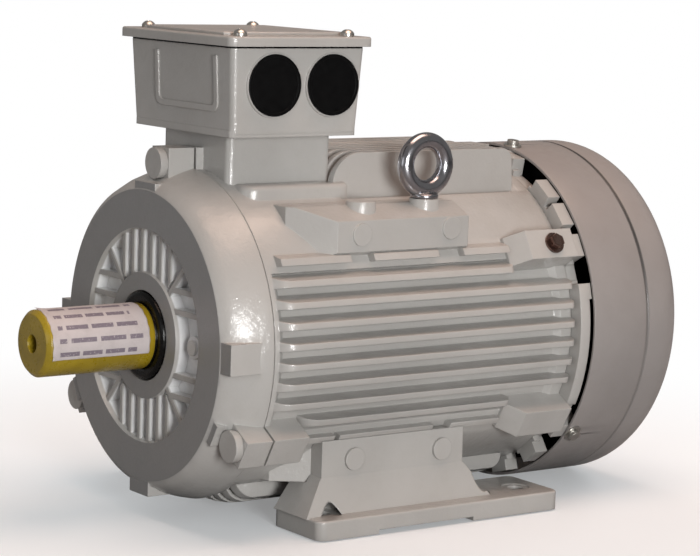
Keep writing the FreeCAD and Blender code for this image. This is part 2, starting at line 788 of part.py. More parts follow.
part("foot_right", foot(1))
part("foot_left", foot(-1))
part("foot_bolts", group(*[
    fuse(side_rod(side, 8.3, 2.4, web_face + 0.02, y, FOOT_BOLT_Z),
         side_rod(side, 4.95, 33, foot_pad_face - 18, y, FOOT_BOLT_Z))
    for side, y in FOOT_BOLTS]))


# ---------------------------------------------------------------- terminal box base
def tub(grow, low, high, rounding):
    """Block on the box outline grown by a margin, its sides drafted 3 degrees."""
    outline = rectangle(-box_half - grow, box_half + grow, box_front - grow, box_rear + grow)
    return fillet(pad("XY_Plane", outline, low, high, taper=3.0), rounding, upright)


def ridge_block(x0, x1, low, high, front, rear, rounding):
    """Block on the front wall with its two lower edges along Y rounded."""
    outline = [(x0, high), (x0, low), (x1, low), (x1, high)]
    return fillet(pad("XZ_Plane", outline, front, rear), rounding,
                  lambda edge: edge.BoundBox.YLength > 5
                  and edge.BoundBox.ZMax < low.value + 0.5)


def entry_rod(y, radius, length, x):
    return rod(radius, length, x=x, y=y, z=entry_height, axis="X")


box_outer = tub(0, box_low, box_top, 4.5)
fillet(box_outer, 4, lambda edge: edge.BoundBox.ZMax < box_low.value + 0.01)
box_inner = tub(-box_wall + 0.3, box_low + 6, box_top + 4, 3)
box_toe = pad("XY_Plane", rectangle(-box_half + 0.5, box_half - 0.5,
                                    box_front - 0.6, box_rear + 0.6), box_low, box_low + 5)
fillet(box_toe, 4, upright)
# U-shaped ridge standing out of the front wall
ridge = common(
    cut(ridge_block(-34, 50, box_low + 17, box_top - 6, 20, box_front + 3, 7),
        ridge_block(-29.5, 45.5, box_low + 21.5, box_top + 2, 19, box_front + 4, 4)),
    tub(1.1, box_low, box_top, 4.5))
entry_bosses = [entry_rod(y, 23.1, 11.3, 59.5) for y in ENTRY_YS]
lid_posts = rods(LID_SCREWS, 5.2, 45, box_top - 45)
box_holes = [entry_rod(y, entry_rad + 0.15, 30, 50) for y in ENTRY_YS]
box_holes += [entry_rod(y, 22.1, 4, 69.3) for y in ENTRY_YS]
box_holes += rods(LID_SCREWS, 2.5, 20, box_top - 19.9)
box_holes += rods(BASE_SCREWS, 3.4, 12, box_low - 1)
box_holes.append(box(-OPEN_HALF, OPEN_HALF, OPEN_FRONT, OPEN_REAR, box_low - 1, box_low + 12))
box_shell = fuse(cut(fuse(box_outer, box_toe, ridge, *entry_bosses), box_inner), *lid_posts)
part("terminal_box_base", cut(box_shell, fuse(*box_holes)))

# ---------------------------------------------------------------- cable entry plugs
plugs = []
for y in ENTRY_YS:
    cap = cut(entry_rod(y, 22, 2.3, 69.32), entry_rod(y, 19.6, 2, 71.0))
    stem = cut(entry_rod(y, entry_rad, 9.4, 61), entry_rod(y, entry_rad - 3, 9, 60))
    plugs.append(fuse(cap, stem))
part("cable_entry_plugs", group(*plugs))

# ---------------------------------------------------------------- box gasket and screws
base_gasket = pad("XY_Plane", [
    rectangle(-ped_half + 1, ped_half - 1, ped_front + 1, ped_rear - 1),
    rectangle(-OPEN_HALF - 1, OPEN_HALF + 1, OPEN_FRONT - 1, OPEN_REAR + 1)],
    ped_top, box_low)
part("base_gasket", cut(base_gasket, fuse(*rods(BASE_SCREWS, 3.4, 12, box_low - 6))))
part("box_base_screws", group(*[
    fuse(head, shank) for head, shank in zip(rods(BASE_SCREWS, 5, 5, box_low + 6.02),
                                             rods(BASE_SCREWS, 2.95, 22, box_low - 15.5))]))

# ---------------------------------------------------------------- terminal box lid
lid_gasket = cut(tub(3.1, box_top, lid_low, 4.5), tub(-1.2, box_top - 1, lid_low + 1, 6))
lid_gasket = fuse(lid_gasket, *rods(LID_SCREWS, 6.5, 1.5, box_top))
part("lid_gasket", cut(lid_gasket, fuse(*rods(LID_SCREWS, 2.9, 10, box_top - 4))))

lid_top = lid_low + 7
lid = pad("XY_Plane", rectangle(-lid_half, lid_half, lid_front, lid_rear), lid_low, lid_top)
fillet(lid, 6.2, upright)
fillet(lid, 1.6, at_or_above(lid_top))
# Raised panel with clipped corners
panel_wide, panel_narrow = lid_half - 21, lid_half - 24
panel = pad("XY_Plane", [
    (-panel_wide, lid_front + 20), (-panel_narrow, lid_front + 9),
    (panel_narrow, lid_front + 9), (panel_wide, lid_front + 20),
    (panel_wide, lid_rear - 20), (panel_narrow, lid_rear - 9),
    (-panel_narrow, lid_rear - 9), (-panel_wide, lid_rear - 20)], lid_low + 6, lid_low + 9.5)
fillet(panel, 1.5, at_or_above(lid_low + 9.5))
part("terminal_box_lid", cut(fuse(lid, panel), fuse(*rods(LID_SCREWS, 2.9, 20, lid_low - 4))))


def lid_screw(x, y):
    """Round-headed screw with a socket."""
    head = cut(common(ball(5.6, x, y, lid_low + 6.4),
                      rod(5, 8, x=x, y=y, z=lid_low + 7.02, axis="Z")),
               rod(1.7, 4, x=x, y=y, z=lid_low + 9.8, axis="Z"))
    return fuse(head, rod(2.45, 20, x=x, y=y, z=lid_low - 12, axis="Z"))


part("lid_screws", group(*[lid_screw(x, y) for x, y in LID_SCREWS]))

# ---------------------------------------------------------------- terminal block
block = [box(-36, 36, 62, 110, 162, 173)]
block += [side_box(side, 30, 36, 62, 110, box_low + 6, 163) for side in (-1, 1)]
block += [side_box(side, 11, 13, 64, 108, 172, 180) for side in (-1, 1)]
part("terminal_block", cut(fuse(*block), fuse(*rods(STUDS, 3.02, 20, 163))))
part("terminal_studs", group(*rods(STUDS, 3, 28, 163)))
part("terminal_links", group(*[
    cut(box(x - 6, x + 6, STUD_YS[0] - 7, STUD_YS[1] + 7, 177, 178.5),
        fuse(*rods([(x, y) for y in STUD_YS], 3.1, 10, 172))) for x in STUD_XS]))
# One nut under and one over each link
part("terminal_nuts", group(*[
    cut(hexagon(5.7, 3.98, x, y, seat + 0.01),
        rod(3.02, 10, x=x, y=y, z=seat - 3, axis="Z"))
    for x, y in STUDS for seat in (173, 178.5)]))

# ---------------------------------------------------------------- lifting eyebolt
part("lifting_eyebolt", fuse(
    ring(17.8, 6.4, x=eye_x, y=eye_y, z=eye_seat + 24.5, axis="X"),
    rod(10.4, 3.6, x=eye_x, y=eye_y, z=eye_seat, axis="Z"),
    cone(9.6, 6.4, 5, eye_x, eye_y, eye_seat + 3.5),
    rod(4.9, 18, x=eye_x, y=eye_y, z=eye_seat - 17, axis="Z")))

# ---------------------------------------------------------------- earth screw
part("earth_washer", cut(radial_rod(8, 1.6, lug_rad + 0.02, EARTH_ANGLE, EARTH_Y),
                         radial_rod(3.2, 9, lug_rad - 3, EARTH_ANGLE, EARTH_Y)))
x, z = around(lug_rad + 1.64, EARTH_ANGLE)
part("earth_screw", fuse(hexagon(5.8, 4.4, x, EARTH_Y, z, outward(EARTH_ANGLE)),
                         radial_rod(2.95, 17, lug_rad - 15, EARTH_ANGLE, EARTH_Y)))


# ---------------------------------------------------------------- fan cowl
def can(radius, front, end, rounding):
    """Solid drum with its rear rim rounded."""
    return fillet(tube(0, radius, front, end), rounding,
                  lambda edge: abs(edge.BoundBox.YMin - end.value) < 0.01
                  and abs(edge.BoundBox.XMax - radius.value) < 0.01
                  and edge.BoundBox.YMax - edge.BoundBox.YMin < 0.01)


cowl_outer = can(cowl_rad, cowl_front, cowl_end, cowl_round)
cowl_inner = can(cowl_rad - cowl_wall, cowl_front - 2, cowl_end - cowl_wall,
                 cowl_round - cowl_wall)
# Shallow groove round the drum
crease = revolve([(cowl_rad - 0.7, cowl_front + 53), (cowl_rad + 2, cowl_front + 52),
                  (cowl_rad + 2, cowl_front + 54.5), (cowl_rad - 0.7, cowl_front + 54)])
# Ring slots in the rear face, bridged by eight radial bars
slots = [tube(radius, radius + 6, cowl_end - 6, cowl_end + 6)
         for radius in (28, 42, 56, 70, 84, 98)]
bars = [spin(box(start, 120, cowl_end - 8, cowl_end + 8, -half, half), first + 90 * k)
        for start, half, first in ((0, 4, 45), (60, 3, 0)) for k in range(4)]
grille = cut(fuse(*slots), fuse(*bars))
cowl_holes = [radial_rod(3.2, 30, cowl_rad - 10, degrees, cowl_screw_y)
              for degrees in COWL_ANGLES]
part("fan_cowl", cut(cowl_outer, fuse(cowl_inner, crease, grille, *cowl_holes)))
part("cowl_screws", group(*[
    fuse(radial_rod(4.6, 3.4, cowl_rad + 1.32, degrees, cowl_screw_y),
         radial_rod(2.45, 14, cowl_rad - 12, degrees, cowl_screw_y))
    for degrees in COWL_ANGLES]))
part("cowl_washers", group(*[
    cut(radial_rod(7, 1.25, cowl_rad + 0.05, degrees, cowl_screw_y),
        radial_rod(2.7, 9, cowl_rad - 5, degrees, cowl_screw_y))
    for degrees in COWL_ANGLES]))

# ---------------------------------------------------------------- blank rating plate, left
part("rating_plate", box(-pad_face - 0.8, -pad_face, 127, 185, 70.5, 89.5))
part("plate_rivets", group(*[rod(1.8, 1.2, x=-pad_face - 2.02, y=y, z=z, axis="X")
                             for y in (130, 182) for z in (73.5, 86.5)]))

# ---------------------------------------------------------------- stator core and windings
STATOR_SLOTS = 36
core = tube(rotor_rad + airgap, bore_rad - 0.02, core_front, core_rear)
repeat_round(core, [[(69.5, -2.6), (90, -3.8), (90, 3.8), (69.5, 2.6)]],
             core_front - 1, core_rear + 1, STATOR_SLOTS)
part("stator_core", core)

# End windings at both ends, joined by the bars in the slots
windings = revolve([
    [(71, core_front - 30), (92, core_front - 30), (95, core_front - 24),
     (95, core_front - 6), (90, core_front - 1), (71, core_front - 1)],
    [(71, core_rear + 1), (90, core_rear + 1), (95, core_rear + 6),
     (95, core_rear + 22), (92, core_rear + 28), (71, core_rear + 28)]])
repeat_round(windings, [[(71.2, -2.3), (89, -3.4), (89, 3.4), (71.2, 2.3)]],
             core_front - 2, core_rear + 2, STATOR_SLOTS, cutting=False)
part("stator_windings", windings)

# ---------------------------------------------------------------- shaft and key
key_front = -shaft_len + 10
KEY_REAR = -10


def key_block(half, low, height):
    """Round-ended key shape along Y."""
    return fuse(box(-half, half, key_front, KEY_REAR, low, low + height),
                *rods([(0, key_front), (0, KEY_REAR)], half, height, low))


de_seat_end = de_brg + de_brg_w + 0.1
shaft_solid = revolve([
    (0, -shaft_len), (shaft_rad - 1, -shaft_len), (shaft_rad, -shaft_len + 1), (shaft_rad, 0),
    (seat_rad, 0), (seat_rad, de_seat_end), (24, de_seat_end), (24, 62), (29, 62),
    (29, core_front - 4), (rotor_bore - 0.02, core_front - 4),
    (rotor_bore - 0.02, core_rear + 6), (21, core_rear + 6), (21, nde_brg - 0.1),
    (nde_seat, nde_brg - 0.1), (nde_seat, 326), (14, 326), (14, 363.5), (13, 364.5),
    (0, 364.5)])
centre_hole = revolve([
    (0, -shaft_len - 1), (6.6, -shaft_len - 1), (6.6, -shaft_len),
    (centre_rad, -shaft_len + 2.5), (centre_rad, -shaft_len + 28), (0, -shaft_len + 31)])
part("shaft", cut(shaft_solid, fuse(key_block(key_half + 0.01, key_floor, 20), centre_hole)))
part("shaft_key", key_block(key_half, key_floor + 0.02, key_top - key_floor - 0.02))

# ---------------------------------------------------------------- rotor core and cage
ROTOR_BARS = 28
BAR_PITCH_RAD = 61.5
rotor = tube(rotor_bore, rotor_rad, core_front, core_rear)
repeat_round(rotor, [(BAR_PITCH_RAD, 0, 3.4)], core_front - 1, core_rear + 1, ROTOR_BARS)
part("rotor_core", rotor)
# End rings at both ends, joined by the bars
cage = revolve([rectangle(52, 67, core_front - 12, core_front - 0.05),
                rectangle(52, 67, core_rear + 0.05, core_rear + 12)])
# The rectangle below starts at its front edge like the rings above.
repeat_round(cage, [(BAR_PITCH_RAD, 0, 3.38)], core_front - 1, core_rear + 1, ROTOR_BARS,
             cutting=False)
part("rotor_cage", cage)


# ---------------------------------------------------------------- bearings
def bearing(tag, front, width, r_in, r_out, pitch, ball_rad):
    """Shielded deep-groove ball bearing with eight balls."""
    middle = front + width / 2
    inner_top = pitch - ball_rad * 0.62
    outer_low = pitch + ball_rad * 0.62
    places = [around(pitch, 45.0 * k + 11.25) for k in range(8)]

    def groove():
        return ring(pitch, ball_rad + 0.06, y=middle)

    def balls(radius):
        return [ball(radius, x, middle, z) for x, z in places]

    part(tag + "_bearing_inner_ring",
         cut(tube(r_in + 0.02, inner_top, front, front + width), groove()))
    part(tag + "_bearing_outer_ring",
         cut(tube(outer_low, r_out, front, front + width), groove()))
    part(tag + "_bearing_balls", group(*balls(ball_rad)))
    cage_ring = tube(pitch - ball_rad * 0.3, pitch + ball_rad * 0.3,
                     middle - ball_rad * 1.12, middle + ball_rad * 1.12)
    part(tag + "_bearing_cage", cut(cage_ring, fuse(*balls(ball_rad + 0.08))))
    part(tag + "_bearing_shields", group(*[
        tube(inner_top + 0.4, outer_low - 0.02, y, y + 0.6)
        for y in (front + 0.4, front + width - 1.0)]))


bearing("de", de_brg, de_brg_w, seat_rad, de_brg_out, de_pitch, de_ball)
bearing("nde", nde_brg, nde_brg_w, nde_seat, nde_brg_out, nde_pitch, nde_ball)
part("preload_spring", tube(30, nde_brg_out - 0.5, nde_brg + nde_brg_w + 0.05,
                            nde_brg + nde_brg_w + 0.95))

# ---------------------------------------------------------------- seals
part("de_shaft_seal", revolve([
    (seat_rad + 0.02, 0.6), (24.5, -1.4), (29.5, -1.8), (31.6, -0.6), (32.2, 1.6),
    (32.2, 4.5), (28, 6), (28, 9.5), (seat_rad + 0.02, 9.5)]))
part("nde_shaft_seal", revolve([
    (nde_seat + 0.02, 320), (24, 320), (25, 322), (20, 327), (nde_seat + 0.02, 327.5)]))

# ---------------------------------------------------------------- cooling fan
FAN_BORE = 14.02
fan_disc = revolve([
    (FAN_BORE, 330), (25, 330), (25, 336), (fan_rad + 9, 338), (fan_rad + 9, 340.5),
    (25, 341), (25, 358), (FAN_BORE, 358)])
blades = [spin(box(24, fan_rad, 339.5, 366, -1.5, 1.5), 40.0 * k) for k in range(9)]
part("cooling_fan", cut(fuse(fan_disc, *blades), rod(FAN_BORE, 80, y=300)))
part("fan_circlip", tube(FAN_BORE, 17.5, 358.1, 359.3))

# ---------------------------------------------------------------- transport sleeve, label
sleeve_bore = shaft_rad + 0.06
sleeve_floor = -shaft_len - 0.4
sleeve = revolve([
    (6.5, sleeve_front), (sleeve_rad - 3, sleeve_front), (sleeve_rad, sleeve_front + 3),
    (sleeve_rad, -2.4), (sleeve_bore, -2.4), (sleeve_bore, sleeve_floor),
    (6.5, sleeve_floor)])
key_room = box(-key_half - 0.25, key_half + 0.25, sleeve_floor, 4, 2, key_top + 0.2)
part("shaft_sleeve", cut(sleeve, key_room))
part("sleeve_label", common(tube(sleeve_rad + 0.02, sleeve_rad + 0.3, -85, -7),
                            pad("XZ_Plane", kite(60, 110, -22, 100), -90, 0)))

# ---------------------------------------------------------------- checks and files
doc.recompute()
bad = []
for obj in doc.Objects:
    state = [str(flag) for flag in obj.State]
    if "Invalid" in state or "Error" in state:
        bad.append("%s (%s) %s" % (obj.Name, obj.Label, state))
for name, obj in made.items():
    shape = obj.Shape
    if shape.isNull() or not shape.isValid() or shape.Volume <= 0 or not shape.Solids:
        bad.append("shape of %s" % name)
if bad:
    raise RuntimeError("; ".join(bad))

os.makedirs("parts", exist_ok=True)
for name, obj in made.items():
    obj.Shape.exportStep(os.path.join("parts", name + ".step"))
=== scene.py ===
"""Foot-mounted electric motor with its terminal box and a sleeved shaft.

The shaft lies along Y: the drive end and its sleeve face -Y, the fan cowl is at +Y.
+Z is up and the feet stand on the floor. Lengths are in millimetres unless a name or
comment says metres.
"""
import bpy, bmesh, math
from mathutils import Vector, Matrix

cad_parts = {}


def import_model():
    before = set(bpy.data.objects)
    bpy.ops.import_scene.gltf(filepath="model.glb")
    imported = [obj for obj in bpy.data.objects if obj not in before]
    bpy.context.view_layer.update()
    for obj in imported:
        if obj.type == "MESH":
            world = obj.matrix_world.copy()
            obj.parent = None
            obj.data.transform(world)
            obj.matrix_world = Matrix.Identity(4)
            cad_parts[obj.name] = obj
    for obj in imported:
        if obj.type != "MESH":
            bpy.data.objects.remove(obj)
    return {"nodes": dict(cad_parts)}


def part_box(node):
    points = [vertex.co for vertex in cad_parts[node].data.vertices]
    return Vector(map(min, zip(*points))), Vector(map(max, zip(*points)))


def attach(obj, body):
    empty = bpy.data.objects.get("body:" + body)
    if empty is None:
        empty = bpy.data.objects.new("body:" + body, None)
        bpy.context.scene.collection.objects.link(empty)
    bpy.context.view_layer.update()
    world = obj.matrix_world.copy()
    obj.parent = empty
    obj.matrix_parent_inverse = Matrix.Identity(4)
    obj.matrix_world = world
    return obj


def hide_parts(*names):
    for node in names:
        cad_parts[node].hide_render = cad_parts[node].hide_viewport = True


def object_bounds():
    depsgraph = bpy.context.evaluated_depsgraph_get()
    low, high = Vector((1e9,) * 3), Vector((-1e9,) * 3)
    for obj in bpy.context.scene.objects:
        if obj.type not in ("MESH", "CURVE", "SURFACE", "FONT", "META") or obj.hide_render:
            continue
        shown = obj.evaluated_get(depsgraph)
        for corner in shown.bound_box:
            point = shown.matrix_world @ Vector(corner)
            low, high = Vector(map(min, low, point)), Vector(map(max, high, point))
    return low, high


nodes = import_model()["nodes"]
cad_lo, cad_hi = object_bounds()
scene = bpy.context.scene
MM = 0.001                      # metres in a millimetre

AIM_Y = 170.0                   # where the lamps aim along the shaft
LABEL_INNER, LABEL_OUTER = 24.05, 24.30     # radii of the paper label on the sleeve


# ---------------------------------------------------------------- shader helpers
def add_node(tree, kind, inputs=None, **props):
    """New node with its properties set and its inputs linked or filled."""
    node = tree.nodes.new(kind)
    for key, value in props.items():
        setattr(node, key, value)
    for key, value in (inputs or {}).items():
        socket = node.inputs[key]
        if isinstance(value, bpy.types.NodeSocket):
            tree.links.new(value, socket)
        elif socket.type == "RGBA" and len(value) == 3:
            socket.default_value = (*value, 1.0)
        else:
            socket.default_value = value
    return node


class Shader:
    """Short way to wire a material. Coordinates and distances are in mm."""

    def __init__(self, name):
        self.material = bpy.data.materials.new(name)
        self.material.use_nodes = True
        self.tree = self.material.node_tree
        self.tree.nodes.clear()
        self.out = self.new("ShaderNodeOutputMaterial")
        metres = self.new("ShaderNodeTexCoord").outputs["Object"]
        self.mm = self.new("ShaderNodeVectorMath", {"Vector": metres, "Scale": 1000.0},
                           operation="SCALE").outputs["Vector"]

    def new(self, kind, inputs=None, **props):
        return add_node(self.tree, kind, inputs, **props)

    def xyz(self):
        return self.new("ShaderNodeSeparateXYZ", {0: self.mm}).outputs

    def true_normal(self):
        return self.new("ShaderNodeNewGeometry").outputs["Normal"]

    def math(self, operation, a, b=0.0, clamp=False):
        return self.new("ShaderNodeMath", {0: a, 1: b, 2: 0.0},
                        operation=operation, use_clamp=clamp).outputs[0]

    def add(self, a, b):
        return self.math("ADD", a, b)

    def sub(self, a, b):
        return self.math("SUBTRACT", a, b)

    def mul(self, a, b, clamp=False):
        return self.math("MULTIPLY", a, b, clamp)

    def vector(self, operation, a, b=(0.0, 0.0, 0.0), output="Vector"):
        return self.new("ShaderNodeVectorMath", {0: a, 1: b},
                        operation=operation).outputs[output]

    def scaled(self, factors):
        return self.vector("MULTIPLY", self.mm, factors)

    def noise(self, size, detail=3.0, rough=0.5, where=None, distortion=0.0):
        return self.new("ShaderNodeTexNoise", {
            "Vector": where or self.mm, "Scale": 1.0 / size, "Detail": detail,
            "Roughness": rough, "Distortion": distortion}).outputs["Fac"]

    def cells(self, size, where=None):
        return self.new("ShaderNodeTexVoronoi", {
            "Vector": where or self.mm, "Scale": 1.0 / size}).outputs["Distance"]

    def ramp(self, value, span, to=(0.0, 1.0)):
        """Smooth step from to[0] to to[1] while the value crosses the span."""
        return self.new("ShaderNodeMapRange", {
            "Value": value, "From Min": span[0], "From Max": span[1],
            "To Min": to[0], "To Max": to[1]}, interpolation_type="SMOOTHSTEP").outputs["Result"]

    def mix(self, factor, a, b):
        return self.new("ShaderNodeMix", {0: factor, 6: a, 7: b},
                        data_type="RGBA", blend_type="MIX").outputs[2]

    def soft_normal(self, radius):
        return self.new("ShaderNodeBevel", {"Radius": radius * MM}, samples=4).outputs["Normal"]

    def edge(self, soft):
        """0 on flats, up to 1 on edges, where the soft and true normals part."""
        cosine = self.vector("DOT_PRODUCT", soft, self.true_normal(), output="Value")
        return self.ramp(cosine, span=(0.995, 0.86))

    def dust_and_shade(self, reach, amount):
        """Mask of grime and painted shade in corners closer together than the reach."""
        open_sky = self.new("ShaderNodeAmbientOcclusion", {"Distance": reach * MM}, samples=4)
        crevice = self.math("SUBTRACT", 1.0, open_sky.outputs["AO"], clamp=True)
        return self.mul(crevice, amount, clamp=True)

    def bump(self, height, depth, strength=1.0, normal=None):
        inputs = {"Height": height, "Distance": depth * MM, "Strength": strength}
        if normal is not None:
            inputs["Normal"] = normal
        return self.new("ShaderNodeBump", inputs).outputs["Normal"]

    def principled(self, **inputs):
        named = {key.replace("_", " "): value for key, value in inputs.items()}
        return self.new("ShaderNodeBsdfPrincipled", named).outputs[0]

    def surface(self, shader):
        self.tree.links.new(shader, self.out.inputs["Surface"])
        return self.material

    def finish(self, **inputs):
        return self.surface(self.principled(**inputs))


def gain(colour, factor, lift=0.0):
    return tuple(min(1.0, v * factor + lift) for v in colour)


def tint(colour, factors):
    return tuple(v * k for v, k in zip(colour, factors))


# ---------------------------------------------------------------- finishes
def drive_end_shade_and_well(t, colour, mottle):
    """Painted shade: a darker grey on the outermost faces turned to -Y; a paler grey in the round
    well behind them.
    """
    face_y, behind_y, well_y = 2.2, 3.4, 4.9
    x, y, z = t.xyz()
    normal_y = t.new("ShaderNodeSeparateXYZ", {0: t.true_normal()}).outputs[1]
    # painted shade: faces turned to -Y at the front get a darker grey
    shaded_facing = t.ramp(t.mul(normal_y, -1.0), span=(0.80, 0.97))
    face = t.mul(t.ramp(y, span=(behind_y, face_y)), shaded_facing)
    colour = t.mix(face, colour, (0.215, 0.214, 0.213))
    radius = t.math("SQRT", t.add(t.mul(x, x), t.mul(z, z)))
    # paler grey in the round well behind the ring
    well = t.mul(t.ramp(radius, span=(92.0, 84.0)), t.ramp(y, span=(behind_y, well_y)))
    pale_well_colour = t.mix(t.ramp(mottle, span=(0.3, 0.7)), (0.76, 0.765, 0.77), (0.66, 0.665, 0.675))
    return t.mix(well, colour, pale_well_colour)


def crease_shade_line(t, colour, base, seam_y):
    """Painted shade: a dark line round the shaft axis along the cowl's crease, strongest towards
    the top.
    """
    _, y, z = t.xyz()
    away = t.math("ABSOLUTE", t.sub(y, seam_y))
    line = t.mul(t.ramp(away, span=(2.3, 0.9)), t.ramp(z, span=(-40.0, 70.0), to=(0.25, 0.9)))
    return t.mix(line, colour, gain(base, 0.15))


def enamel(name, base, cast=1.0, coat=0.55, dirt=0.13, speck=0.10, drive_end=False, seam_y=None):
    """Sprayed enamel: orange peel, sand grain, thin paint and a painted highlight on edges, dusty
    corners with painted shade.

    cast scales the relief; dirt and speck are the strengths of the dusty corners with painted
    shade and of the dark specks.
    """
    t = Shader(name)
    soft = t.soft_normal(radius=1.1)
    edge = t.edge(soft)
    wide = t.noise(size=95.0, detail=2.0)
    mottle = t.noise(size=17.0, detail=4.0, rough=0.6)
    colour = t.mix(t.ramp(wide, span=(0.3, 0.7)), gain(base, 0.93), gain(base, 1.06))
    colour = t.mix(t.ramp(mottle, span=(0.35, 0.75), to=(0.0, 0.22)), colour,
                   tint(base, (0.82, 0.80, 0.77)))
    specks = t.noise(size=2.3, detail=2.0, rough=0.6)
    colour = t.mix(t.ramp(specks, span=(0.66, 0.76), to=(0.0, speck)), colour, gain(base, 0.60))
    # painted shade on the -Y faces of the drive end, and its paler well
    if drive_end:
        colour = drive_end_shade_and_well(t, colour, mottle)
    # edges lighter: paint worn thin, plus a painted highlight
    worn = t.mul(edge, t.ramp(mottle, span=(0.35, 0.65), to=(0.25, 0.7)))
    colour = t.mix(worn, colour, gain(base, 1.28))
    # painted shade and grime: occluded corners turn darker and rougher
    dust_and_shade = t.dust_and_shade(reach=7.0, amount=dirt)
    colour = t.mix(dust_and_shade, colour, tint(base, (0.30, 0.27, 0.24)))
    # painted shade along the cowl's crease
    if seam_y is not None:
        colour = crease_shade_line(t, colour, base, seam_y)

    grain = t.noise(size=1.5, rough=0.62)
    pits = t.ramp(t.cells(size=4.2), span=(0.0, 0.45))
    waves = t.noise(size=9.0, detail=2.0)
    relief = t.add(t.add(t.mul(grain, 0.35), t.mul(pits, 0.22)), t.mul(waves, 0.9))
    peel = t.add(waves, t.mul(t.noise(size=3.0, detail=2.0, rough=0.6), 1.5))
    return t.finish(
        Base_Color=colour, IOR=1.5,
        Roughness=t.add(t.ramp(mottle, span=(0.3, 0.7), to=(0.31, 0.45)), t.mul(dust_and_shade, 0.25)),
        Normal=t.bump(relief, depth=0.30 * cast, strength=0.65, normal=soft),
        Coat_Weight=coat, Coat_Roughness=0.14,
        Coat_Normal=t.bump(peel, depth=0.34 * cast, normal=soft))


def metal(name, base, rough, brushed, axis=1, tarnish=(0.35, 0.33, 0.30), dirt=0.4,
          radius=0.5, spots=0.35):
    """Bare or plated metal: polish lines, handling stains, brighter edges.

    brushed is the height of the lines, which vary fastest along the axis (0, 1, 2 = X, Y, Z).
    """
    t = Shader(name)
    soft = t.soft_normal(radius)
    edge = t.edge(soft)
    stains = t.noise(size=8.0, detail=5.0, rough=0.65)
    colour = t.mix(t.ramp(stains, span=(0.42, 0.75), to=(0.0, spots)), base, tint(base, tarnish))
    colour = t.mix(t.mul(edge, 0.45), colour, gain(base, 1.25))
    # painted shade and grime: occluded corners turn nearly black
    dust_and_shade = t.dust_and_shade(reach=3.0, amount=dirt)
    colour = t.mix(dust_and_shade, colour, (0.025, 0.022, 0.02))
    stretch = [0.6, 0.6, 0.6]
    stretch[axis] = 9.0
    lines = t.noise(size=1.0, rough=0.6, where=t.scaled(stretch))
    relief = t.add(t.mul(lines, brushed), t.mul(t.noise(size=1.1, detail=2.0), 0.25))
    roughness = t.ramp(stains, span=(0.3, 0.75), to=(rough, rough + 0.16))
    return t.finish(Base_Color=colour, Metallic=1.0, Roughness=t.add(roughness, t.mul(dust_and_shade, 0.3)),
                    Normal=t.bump(relief, depth=0.06, strength=0.6, normal=soft))


def polymer(name, base, rough, grain=0.8, spec=0.5, coat=0.0, marks=0.25, mottled=0.0, lift=0.02):
    """Moulded plastic or rubber: fine spark texture, scuffs, dusty corners with painted shade.

    marks is the strength of the scuffs, lift the light added to scuffs and edges.
    """
    t = Shader(name)
    soft = t.soft_normal(radius=0.6)
    edge = t.edge(soft)
    broad = t.noise(size=30.0, rough=0.55)
    colour = t.mix(t.ramp(broad, span=(0.3, 0.7)), gain(base, 0.86), gain(base, 1.14))
    if mottled:
        blotches = t.noise(size=11.0, detail=5.0, rough=0.7)
        colour = t.mix(t.ramp(blotches, span=(0.45, 0.7), to=(0.0, mottled)), colour,
                       tint(base, (0.62, 0.58, 0.45)))
    scuffs = t.noise(size=3.0, detail=4.0, rough=0.7, distortion=0.6)
    colour = t.mix(t.ramp(scuffs, span=(0.58, 0.7), to=(0.0, marks)), colour,
                   gain(base, 1.5, lift))
    colour = t.mix(t.mul(edge, 0.5), colour, gain(base, 1.6, lift))
    # painted shade and grime: occluded corners turn darker
    colour = t.mix(t.dust_and_shade(reach=4.0, amount=0.5), colour, gain(base, 0.35))
    relief = t.add(t.mul(t.noise(size=0.7, detail=2.0, rough=0.6), 0.6),
                   t.mul(t.noise(size=6.0, detail=2.0), 0.5))
    return t.finish(
        Base_Color=colour,
        Roughness=t.ramp(t.noise(size=5.0, detail=4.0, rough=0.65), span=(0.3, 0.7),
                         to=(rough - 0.06, rough + 0.1)),
        Normal=t.bump(relief, depth=0.05 * grain, strength=0.7, normal=soft),
        Coat_Weight=coat, Coat_Roughness=0.2, Specular_IOR_Level=spec)


def laminated(name, base, pitch):
    """Stacked sheet steel: a fine line for every sheet along the shaft."""
    t = Shader(name)
    wave = t.math("SINE", t.mul(t.xyz()[1], 2 * math.pi / pitch))
    colour = t.mix(t.ramp(wave, span=(-1.0, 1.0)), gain(base, 0.7), gain(base, 1.1))
    rust = t.noise(size=14.0, detail=4.0, rough=0.6)
    colour = t.mix(t.ramp(rust, span=(0.45, 0.7), to=(0.0, 0.5)), colour, (0.09, 0.055, 0.04))
    return t.finish(Base_Color=colour, Metallic=0.8,
                    Roughness=t.ramp(t.noise(size=3.0), span=(0.3, 0.7), to=(0.38, 0.55)),
                    Normal=t.bump(wave, depth=0.08, strength=0.8))


def wound(name):
    """Varnished wire: strands along Y, amber varnish pooled between them."""
    t = Shader(name)
    strands = t.cells(size=1 / 0.55, where=t.scaled((1.0, 0.12, 1.0)))
    colour = t.mix(t.ramp(strands, span=(0.1, 0.7)), (0.55, 0.20, 0.075), (0.16, 0.045, 0.015))
    colour = t.mix(t.ramp(t.noise(size=16.0), span=(0.45, 0.7), to=(0.0, 0.5)), colour,
                   (0.30, 0.11, 0.03))
    return t.finish(Base_Color=colour, Metallic=0.55, Coat_Weight=0.6, Coat_Roughness=0.12,
                    Roughness=t.ramp(t.noise(size=4.0), span=(0.3, 0.7), to=(0.26, 0.42)),
                    Normal=t.bump(strands, depth=0.6, strength=0.9))


